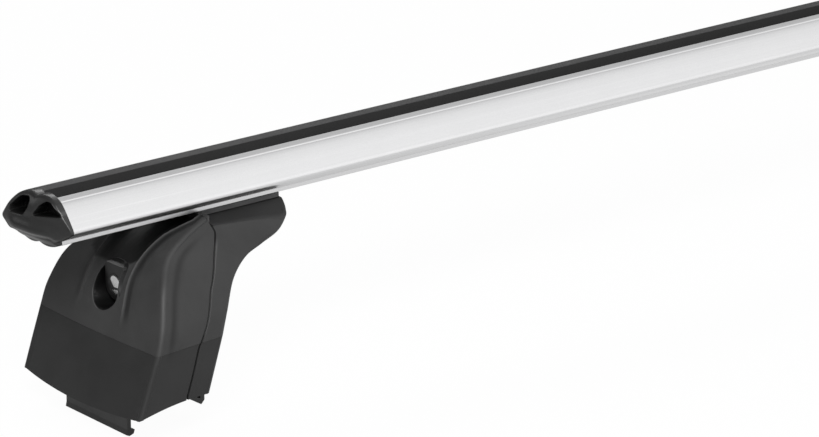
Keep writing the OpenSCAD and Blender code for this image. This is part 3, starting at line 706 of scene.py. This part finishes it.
def seam_place(t, shift):
    """Distance along each ring's line to the seam."""
    _, a, l, way = edges(t)
    order = np.argsort(SEAM[:, 1])
    zs = np.linspace(SEAM[:, 1].min(), SEAM[:, 1].max(), 1200)
    xs = np.interp(zs, SEAM[order, 1], SEAM[order, 0])
    soft = np.ones(25) / 25
    xs = np.convolve(np.pad(xs, 12, mode="edge"), soft, mode="valid") + shift
    lo, hi = np.full(len(t), -12.0), l + 20
    for _ in range(40):
        mid = (lo + hi) / 2
        ahead = a[:, 0] + way[:, 0] * mid - np.interp(a[:, 1] + way[:, 1] * mid, zs, xs) > 0
        hi, lo = np.where(ahead, mid, hi), np.where(ahead, lo, mid)
    return (lo + hi) / 2


def pocket_radius(angle):
    """A round foot and a flatter top with full corners."""
    c, s = np.abs(np.cos(angle)) + 1e-9, np.maximum(np.sin(angle), 1e-9)
    return np.where(np.sin(angle) > 0, ((c / POCKET_HALF) ** 3 + (s / POCKET_TOP) ** 3) ** (-1 / 3),
                    POCKET_HALF)


def front_x(y, z):
    """Place along X of the front at a point of the view from the end."""
    grid = np.linspace(1.0, 6.6, 500)
    out = np.empty(len(y))
    for k in range(len(y)):
        q = to_space(grid, front_depth(grid, np.full_like(grid, y[k])), np.full_like(grid, y[k]))
        out[k] = np.interp(z[k], q[:, 2], q[:, 0])
    return out


def painted_bar_shadow(y, z):
    """Painted shadow of the bar: the dark part of the channel, up under the bar."""
    low = np.interp(y, [-18, -15, -8, 0, 12, 20, 27], [-42, -46, -50, -51.8, -52, -50, -46])
    inside = np.where(y < 0, 1 - step(-y - channel_half(z), -3.0, -0.8), 1 - step(y, 24.0, 29.0))
    return step(z - low, -0.8, 1.2) * inside


def painted_bar_shadow_tone(y, z):
    """Tones of points on the front, in the row frame: the bar's painted shadow up in the channel, plain
    elsewhere.
    """
    tone = np.zeros((len(y), 3))
    tone[:, 1] = painted_bar_shadow(y, z - RIDE_H)
    return tone


def cover_grid(rows):
    """The cover's outside as rings of points, with their tones (painted highlight, painted shade, skirt
    share) and the number of the middle column.
    """
    seam = seam_place(rows, -0.8)
    s, a, _, _ = edges(rows)
    y0 = s[:, 2] * FOOT_W / 2 - R_FRONT
    z, h = a[:, 1], s[:, 1]
    cy = np.minimum(channel_half(z), y0 - 3)
    channel = np.concatenate([np.linspace(0, 0.8, 17), np.linspace(0.8, 1, 9)[1:]])
    flank = np.concatenate([np.linspace(0, 0.2, 4)[1:], np.linspace(0.2, 1, 7)[1:]])
    corner = np.radians(np.linspace(0, 90, 9))[1:]
    along = np.linspace(0, 1, 56)[1:]
    front = [cy * f for f in channel] + [cy + (y0 - cy) * f for f in flank]
    half = [(front_depth(rows, y), y) for y in front]
    for g in corner:
        half.append((R_FRONT * (1 - np.cos(g)) * np.ones(len(rows)), y0 + R_FRONT * np.sin(g)))
    p_first = np.minimum(R_FRONT, seam)
    for f in along:
        p = p_first + (seam - p_first) * f
        half.append((p, side_width(rows, p)))
    columns = [to_space(rows, np.minimum(p, seam), -y) for p, y in half]
    far = [c * np.array([1, -1, 1]) for c in columns[1:]]
    grid = np.stack(far[::-1] + columns, 1)

    rise = step(h, 0.44, 0.56)
    under_seam = step(z, -96.0, -80.0) * step(-30.0 - z, 0.0, 8.0)
    tones = []
    for k, (p, y) in enumerate(half):
        m = np.zeros((len(rows), 3))
        # Skirt share: the skirt is painted darker as shade
        m[:, 2] = skirt_share(rows)
        if k < len(front):
            off = y - cy
            # Painted highlight on the bead's crest
            m[:, 0] = rise * 0.55 * np.exp(-(off / 0.7) ** 2)
            # Painted shade in a band beside the bead
            m[:, 1] = rise * 0.7 * step(off, 0.6, 2.2) * (1 - step(off, 3.5, 6.5))
        elif k < len(front) + len(corner):
            # Painted highlight along the near front corner
            m[:, 0] = 0.20 * step(h, 0.3, 0.45) * np.exp(-((p / R_FRONT - 0.5) / 0.28) ** 2)
        else:
            # Painted shade in the side's groove
            m[:, 1] = under_seam * 0.55 * np.exp(-((p - 9.5) / 2.4) ** 2)
        tones.append(m)
    # Painted shade along the cover's edge at the seam, between the parts
    tones[-1][:, 1] = 1.0
    # The far side keeps little of the painted highlights and part of the painted shade
    quiet = [m * np.array([0.15, 0.6, 1.0]) for m in tones[:0:-1]]
    tones = np.stack(quiet + tones, 1)
    # The bar's painted shadow up in the channel
    tones[:, :, 1] = np.maximum(tones[:, :, 1], painted_bar_shadow(grid[:, :, 1], grid[:, :, 2] - RIDE_H))
    return grid, tones, len(far)


def add_pocket(shape, edge, edge_ids):
    """The lock's pocket, from the edge left open for it to the round hole in its floor."""
    angle = np.arctan2(edge[:, 2] - RIDE_H - LOCK_Z, edge[:, 1])
    r = pocket_radius(angle)
    lean = np.where(np.cos(angle) < 0, 1 - 0.42 * step(np.sin(angle), -0.55, 0.5), 1.0)
    mouth = np.column_stack([r * lean * np.cos(angle), RIDE_H + LOCK_Z + r * np.sin(angle)])
    wide = np.column_stack([r * np.cos(angle), RIDE_H + LOCK_Z + r * np.sin(angle)])
    mid = np.array([0.0, RIDE_H + LOCK_Z])
    x_mouth = front_x(mouth[:, 0], mouth[:, 1])
    x_floor = FLOOR_X - BAR_L / 2 + FOOT_INSET
    # Painted shade: the pocket's floor and hole are black
    painted_shade = (0.0, 1.0, 0.0)
    rings = []
    for f in (0.8, 0.6, 0.42, 0.28, 0.17, 0.08, 0.03):
        q = mouth + (edge[:, 1:] - mouth) * f
        # The rings near the mouth take the bar's painted shadow
        rings.append((front_x(q[:, 0], q[:, 1]), q, painted_bar_shadow_tone(q[:, 0], q[:, 1])))
    for inset_by, depth in ((0.0, 0.12), (0.12, 0.45), (0.25, 1.0), (0.3, 3.0), (0.4, 6.0)):
        q = mid + (mouth + (wide - mouth) * min(1.0, depth / 3.0) - mid) * (1 - inset_by / 13.0)
        tone = np.zeros((len(q), 3))
        # Painted highlight on the mouth's far rim
        tone[:, 0] = np.where((q[:, 0] > 2) & (depth < 0.3), 0.5, 0.0)
        # Painted shade down the pocket's walls
        tone[:, 1] = min(1.0, depth / 0.6) if depth > 0.3 else 0.0
        rings.append((np.minimum(x_mouth + depth, x_floor - 0.1), q, tone))
    for f in (0.965, 0.95, 0.9, 0.8):
        x = x_floor - (0.35 if f == 0.965 else 0.0)
        rings.append((np.full(len(angle), x), mid + (wide - mid) * f, painted_shade))
    hole = np.column_stack([POCKET_HOLE_R * np.cos(angle), RIDE_H + LOCK_Z + POCKET_HOLE_R * np.sin(angle)])
    rings.append((np.full(len(angle), x_floor), hole, painted_shade))
    last = edge_ids
    for x, q, tone in rings:
        ring = shape.points(np.column_stack([x, q]), tone)
        shape.strip(last, ring)
        last = ring


def make_cover(name, mirror):
    """The cover's shell with its channel, beads, skirt and lock pocket."""
    rows = np.concatenate([np.linspace(0, 0.12, 5), np.linspace(0.12, 1.95, 36)[1:],
                           np.linspace(1.95, 2.05, 5)[1:], np.linspace(2.05, 7.0, 106)[1:]])
    grid, tones, centre = cover_grid(rows)
    shape = Shape()
    ids = shape.grid(grid, tones)
    # The rows and columns left open for the pocket
    c0, c1 = centre - 14, centre + 14
    z_mid = grid[:, centre, 2] - RIDE_H
    r0 = int(np.argmax(z_mid > LOCK_Z - 16.5))
    r1 = int(np.argmax(z_mid > LOCK_Z + 15.0))
    for i in range(grid.shape[0] - 1):
        for j in range(grid.shape[1] - 1):
            if not (r0 <= i < r1 and c0 <= j < c1):
                shape.quad(ids, i, j)
    border = [(r0, j) for j in range(c0, c1)] + [(i, c1) for i in range(r0, r1)] \
        + [(r1, j) for j in range(c1, c0, -1)] + [(i, c0) for i in range(r1, r0, -1)]
    add_pocket(shape, np.array([grid[i, j] for i, j in border]), [ids[i, j] for i, j in border])
    cover = shape.piece(name, MAT["shell"], mirror, recalc=False)
    thicken(cover)
    side = "right" if mirror else "left"
    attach(cover, side + "_cover")
    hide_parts(side + "_cover")


def roof_z(x, y):
    """Height of the housing's roof: flat under the saddle, a lip beside it and shoulders that fall away."""
    y = np.abs(y)
    slope = SHOULDER_TURN * np.maximum(0, x - SHOULDER_X)
    lip = np.interp(y, [SADDLE_HALF + 0.25, SADDLE_HALF + 0.5, SADDLE_HALF + 1.2], [0.0, 0.5, 0.5])
    return SADDLE_LOW + lip - slope * np.maximum(0, y - SADDLE_HALF)


def housing_ring(t, u, seam):
    """Points of one ring: its side from 0 to 1, its back corner to 2 and half its bowed back to 3."""
    s, _, l, _ = edges(t)
    w1 = s[5] * FOOT_W / 2
    first = min(max(seam, 0.0), l - R_BACK - 0.3)
    side = first + (l - R_BACK - first) * np.clip(u, 0, 1)
    g = np.radians(90 * (1 - np.clip(u - 1, 0, 1)))
    f = 1 - np.clip(u - 2, 0, 1)
    bow = max(3.0, 18 - 1.9 * t)
    p = np.where(u <= 1, side, np.where(u <= 2, l - R_BACK + R_BACK * np.cos(g), l + bow * (1 - f ** 3)))
    width = np.where(u <= 1, side_width(t, side), w1 - R_BACK + R_BACK * np.sin(g))
    return to_space(t, p, -np.where(u <= 2, width, (w1 - R_BACK) * f))


def roof_cut(t, seam, probe):
    """Where on a ring's line, 0 to 3, it comes out of the roof: 0 if the whole ring stays below it."""
    q = housing_ring(t, probe, seam)
    over = q[:, 2] - RIDE_H - roof_z(q[:, 0] + BAR_L / 2 - FOOT_INSET, q[:, 1])
    hit = np.nonzero(over > 0)[0]
    if not len(hit) or seam >= 60:
        return 0.0
    i = hit[-1]
    if i >= len(probe) - 1:
        return 3.0
    return probe[i] + (probe[i + 1] - probe[i]) * over[i] / (over[i] - over[i + 1])


def add_roof(shape, grid, ids, start):
    """The roof under the bar, between the two upper edges."""
    before = None
    for i in range(start, len(grid)):
        q = grid[i, 0]
        w = abs(q[1])
        wide = w > SADDLE_HALF + 1.2
        ys = [w - (w - SADDLE_HALF - 1.2) * f for f in (0.3, 0.6, 1.0)] if wide else [w] * 3
        ys += ([min(w, SADDLE_HALF + d) for d in (0.8, 0.5, 0.25)]
               + [min(w, SADDLE_HALF - 3), min(w, SADDLE_HALF / 2)])
        ys = np.array([-y for y in ys] + [0.0] + ys[::-1])
        z = roof_z(q[0] + BAR_L / 2 - FOOT_INSET, ys) + RIDE_H
        z = np.where(np.abs(ys) >= w - 1e-6, q[2], z)
        # Painted shade on the roof under the bar, fading out towards its outer edges
        tone = [(0.0, 0.55 * float(step(w - abs(y), 0.0, 2.0)), 0.0) for y in ys]
        mids = shape.points([(q[0], y, h) for y, h in zip(ys, z)], tone)
        line = [ids[i, 0]] + mids + [ids[i, -1]]
        if before:
            shape.strip(line, before, closed=False)
        before = line


def make_housing(name, mirror):
    """The housing behind the seam, cut off by its roof under the bar."""
    fine = np.linspace(8.0, 9.0, 201)
    back = np.array([housing_ring(t, np.array([3.0]), -1.0)[0] for t in fine])
    t_end = float(np.interp(SADDLE_LOW + RIDE_H - 0.02, back[:, 2], fine))
    rows = np.concatenate([np.linspace(0, 0.12, 5), np.linspace(0.12, 1.95, 30)[1:],
                           np.linspace(1.95, 2.05, 5)[1:], np.linspace(2.05, t_end - 0.12, 130)[1:],
                           np.linspace(t_end - 0.12, t_end, 24)[1:]])
    seam = seam_place(rows, 0.4)
    base = np.concatenate([np.linspace(0, 1, 34), np.linspace(1, 2, 10)[1:], np.linspace(2, 3, 17)[1:]])
    probe = np.linspace(0, 3, 1201)
    cuts = [roof_cut(t, seam[k], probe) for k, t in enumerate(rows)]
    columns = []
    for k, (t, cut) in enumerate(zip(rows, cuts)):
        u = np.where(base <= 1, cut + (1 - cut) * base, base) if cut < 1 else np.maximum(base, cut)
        columns.append(housing_ring(t, u, seam[k]))
    near = np.array(columns)
    far = near[:, :-1] * np.array([1, -1, 1])
    grid = np.concatenate([near, far[:, ::-1]], 1)
    tones = np.zeros(grid.shape)
    # Skirt share: the skirt is painted darker as shade
    tones[:, :, 2] = skirt_share(rows)[:, None]
    # Painted highlight along the housing's edges at the seam
    rim = 0.55 * step(rows, 2.2, 2.6) * (1 - step(rows, 5.6, 6.2))
    for j, weight in ((0, 1.0), (1, 0.7)):
        tones[:, j, 0] = tones[:, -1 - j, 0] = rim * weight
    shape = Shape()
    ids = shape.grid(grid, tones)
    for i in range(grid.shape[0] - 1):
        for j in range(grid.shape[1] - 1):
            shape.quad(ids, i, j)
    add_roof(shape, grid, ids, [cut > 0 for cut in cuts].index(True))
    housing = shape.piece(name, MAT["shell"], mirror, recalc=False)
    bm = bmesh.new()
    bm.from_mesh(housing.data)
    bmesh.ops.remove_doubles(bm, verts=bm.verts, dist=0.00002)
    bmesh.ops.dissolve_degenerate(bm, edges=bm.edges, dist=0.00001)
    bmesh.ops.recalc_face_normals(bm, faces=bm.faces)
    bm.to_mesh(housing.data)
    bm.free()
    smooth(housing, SHELL_SHARP)
    thicken(housing)
    side = "right" if mirror else "left"
    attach(housing, side + "_foot")
    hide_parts(side + "_inner_housing")


def circle(r, z, degrees):
    return [[r * math.cos(a), z + r * math.sin(a)] for a in np.radians(degrees)]


def x_reach(node):
    """The outer and the inner distance of a CAD node from the bar's middle, in millimetres."""
    ends = [abs((Vector(c) / MM).x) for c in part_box(node)]
    return max(ends), min(ends)


def make_lock(side, mirror):
    """The lock's barrel, and in its bore the plug with a bright faceted face; the plug's dark body between
    the facets is painted shade for the keyway.
    """
    outer, inner = x_reach(side + "_lock_housing")
    z = RIDE_H + LOCK_Z
    whole_turn = np.arange(0, 360, 7.5)
    barrel = circle(BARREL_R, z, np.linspace(180, 360, 33)) + [[BARREL_R, z + 10.6]]
    barrel += [[7.8, z + 11.9], [-7.8, z + 11.9], [-BARREL_R, z + 10.6]]
    s = Shape()
    prism(s, [barrel, circle(BORE_R, z, whole_turn)[::-1]], -outer, -inner)
    boss = s.piece(side + "_lock_barrel", MAT["dark"], mirror, sharp=LOCK_SHARP)
    soften(boss, 0.0005, 3)
    settle(boss, LOCK_SHARP)
    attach(boss, side + "_cover")
    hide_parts(side + "_lock_housing")
    outer, inner = x_reach(side + "_lock_plug")
    x_plug = -outer + 0.4
    s = Shape()
    prism(s, [circle(PLUG_R, z, whole_turn)], x_plug, -inner)
    plug = s.piece(side + "_plug", MAT["plug"], mirror, sharp=LOCK_SHARP)
    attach(plug, side + "_lock")
    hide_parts(side + "_lock_plug")
    # Two bright nickel pieces; the dark plug showing between them is painted shade for the keyway
    upper = [[3.4, 2.6], [2.6, 4.2], [0.6, 5.3], [-2.4, 4.9], [-4.9, 2.9], [-4.3, -0.9], [0.3, -1.3]]
    lower = [[2.2, -3.1], [-4.1, -2.3], [-3.2, -4.4], [-1.4, -5.4]]
    s = Shape()
    for outline in (upper, lower):
        prism(s, [[[y, z + h] for y, h in outline]], x_plug - 0.4, x_plug + 0.2)
    face = s.piece(side + "_plug_face", MAT["lock"], mirror, sharp=LOCK_SHARP)
    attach(face, side + "_lock")


make_bar()
make_strip()
for end, flip in (("left", False), ("right", True)):
    make_cap(end + "_cap", flip)
    make_cover(end + "_cover_shell", flip)
    make_housing(end + "_housing_shell", flip)
    make_lock(end, flip)


# Carried-over nodes get better materials and softened edges
KEPT = {
    "saddle": ("saddle", "rubber"), "rail_pad": ("rubber", "rubber"), "hook_liner": ("rubber", "rubber"),
    "jaw_liner": ("rubber", "rubber"), "outer_jaw": ("jaw", "jaw"), "inner_hook": ("jaw", "jaw"),
    "steel_frame": ("jaw", "steel"), "slot_nuts": ("steel", "steel"), "saddle_screws": ("steel", "steel"),
    "hook_screws": ("steel", "steel"), "clamp_nut": ("steel", "steel"), "lock_keeper": ("steel", "steel"),
    "keeper_rivets": ("steel", "steel"), "clamp_bolt": ("steel", "steel"), "washer": ("steel", "steel"),
    "lock_cam": ("steel", "lock_metal"), "cam_screw": ("steel", "lock_metal"),
}
for end in ("left", "right"):
    for node, (material, slot) in KEPT.items():
        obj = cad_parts[end + "_" + node]
        obj.data.materials.clear()
        obj.data.materials.append(MAT[material])
        weld = obj.modifiers.new("weld", "WELD")
        weld.merge_threshold = 0.00001
        soften(obj, 0.00035, 2)


# Floor, light and background
def make_floor():
    """A floor that is white to the camera, keeps the shadow and reflects darker on its left and back."""
    me = bpy.data.meshes.new("floor")
    bm = bmesh.new()
    bmesh.ops.create_circle(bm, cap_ends=True, segments=96, radius=14)
    bm.to_mesh(me)
    bm.free()
    obj = bpy.data.objects.new("floor", me)
    scene.collection.objects.link(obj)
    m, t = new_material("floor")
    path = t.add("ShaderNodeLightPath")
    place = object_place(t)
    along = t.dot(place, (0.636, -0.772, 0))
    gloss = t.math("MULTIPLY", path.outputs["Is Glossy Ray"], t.ramp(along, -0.55, -0.1, 0.12, 1.0))
    seen = t.math("MAXIMUM", path.outputs["Is Camera Ray"],
                  t.math("MAXIMUM", gloss, path.outputs["Is Transmission Ray"]))
    diffuse = t.add("ShaderNodeBsdfDiffuse", {"Color": (0.62, 0.62, 0.62, 1)})
    glow = t.add("ShaderNodeEmission", {"Color": (1, 1, 1, 1), "Strength": 1.03})
    share = t.math("MULTIPLY", seen, 0.94)
    both = t.add("ShaderNodeMixShader", {0: share, 1: diffuse.outputs[0], 2: glow.outputs[0]})
    t.add("ShaderNodeOutputMaterial", {"Surface": both.outputs[0]})
    me.materials.append(m)


def make_world():
    """A pale studio: white to the camera, in reflections brighter at the front right and darker behind."""
    world = bpy.data.worlds.new("studio")
    scene.world = world
    world.use_nodes = True
    t = Nodes(world.node_tree)
    path = t.add("ShaderNodeLightPath")
    place = t.add("ShaderNodeTexCoord").outputs["Generated"]
    side = t.dot(place, (0.50, -0.72, 0.48))
    away = t.dot(place, (0.0, 0.95, 0.30))
    room = t.math("ADD", t.ramp(side, -0.2, 0.75, 0.44, 0.69), t.ramp(side, 0.70, 1.0, 0.0, 0.85))
    room = t.math("MULTIPLY", room, t.ramp(away, 0.55, 0.80, 1.0, 0.2))
    seen = t.math("MAXIMUM", path.outputs["Is Camera Ray"], path.outputs["Is Transmission Ray"])
    level = t.math("MAXIMUM", seen, t.math("MULTIPLY", path.outputs["Is Glossy Ray"], room))
    level = t.math("MAXIMUM", level, 0.15)
    back = t.add("ShaderNodeBackground", {"Color": (1, 1, 1, 1), "Strength": level})
    t.add("ShaderNodeOutputWorld", {"Surface": back.outputs[0]})


def softbox(name, place, target, size, power):
    """A rectangular lamp that faces its target."""
    data = bpy.data.lights.new(name, "AREA")
    data.shape = "RECTANGLE"
    data.size, data.size_y = size
    data.energy = power
    obj = bpy.data.objects.new(name, data)
    obj.location = place
    obj.rotation_mode = "QUATERNION"
    obj.rotation_quaternion = (Vector(target) - Vector(place)).to_track_quat("-Z", "Y")
    scene.collection.objects.link(obj)


make_floor()
make_world()
softbox("key", (-1.6, -1.35, 1.65), (-0.4, 0, 0.08), (0.8, 0.8), 38)
softbox("back", (0.6, 1.7, 2.0), (0.0, 0, 0.1), (1.6, 0.8), 20)
softbox("left", (-1.56, 1.32, 0.88), (-0.6, 0, 0.12), (0.3, 0.3), 1.2)
softbox("low", (-1.75, -1.55, 0.22), (-0.52, 0, 0.08), (0.25, 0.3), 3)
